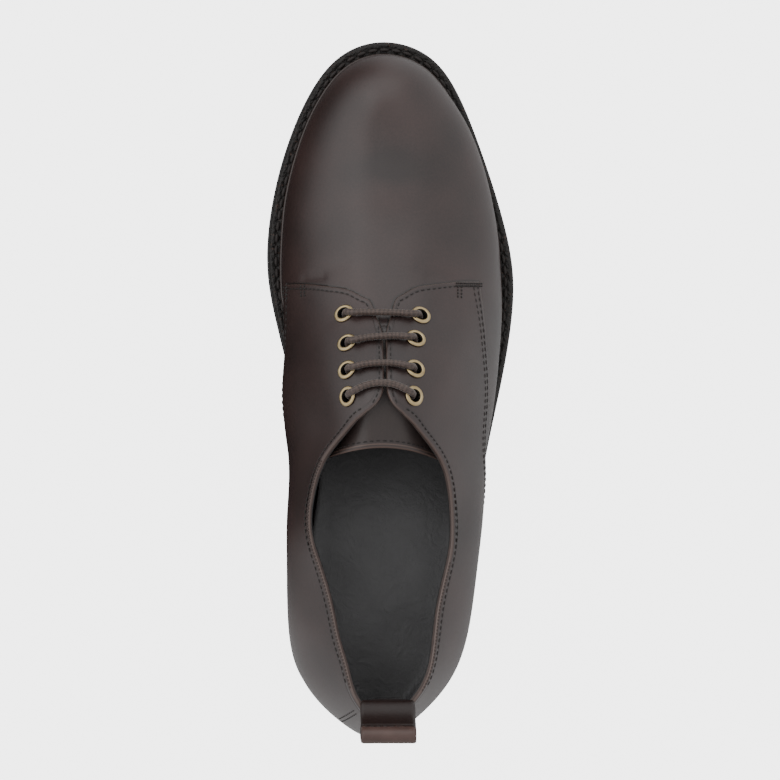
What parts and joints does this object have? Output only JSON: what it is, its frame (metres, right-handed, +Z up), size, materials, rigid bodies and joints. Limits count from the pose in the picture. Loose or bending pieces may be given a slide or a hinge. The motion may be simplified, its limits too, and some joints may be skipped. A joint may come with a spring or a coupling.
{
  "type": "lace-up shoe",
  "caption": "Plain-toe lace-up derby, hollow leather upper with raised quarters on a welted sole with a low block heel, pull loop at the back.",
  "frame": {"origin": "middle of the bounding box in plan, on the floor that heel and forefoot stand on", "axes": "+Y from heel to toe, +X to the outer (lateral) side of the right foot, +Z up"},
  "size_m": [0.1, 0.279, 0.1039],
  "materials": {
    "rubber_sole": "semi-matt black",
    "welt": "waxed black, stitched",
    "upper_leather": "polished dark brown",
    "lining": "soft black grain",
    "brass": "antique, satin",
    "lace": "waxed round braid"
  },
  "bodies": {
    "root": {"outsole": "rubber_sole", "heel": "rubber_sole", "welt": "welt", "upper": "upper_leather", "tongue": "upper_leather", "insole": "lining", "pull_loop": "upper_leather", "eyelet_lateral_1": "brass", "eyelet_lateral_2": "brass", "eyelet_lateral_3": "brass", "eyelet_lateral_4": "brass", "eyelet_medial_1": "brass", "eyelet_medial_2": "brass", "eyelet_medial_3": "brass", "eyelet_medial_4": "brass", "lace_bar_1": "lace", "lace_bar_2": "lace", "lace_bar_3": "lace", "lace_bar_4": "lace"}
  },
  "joints": []
}
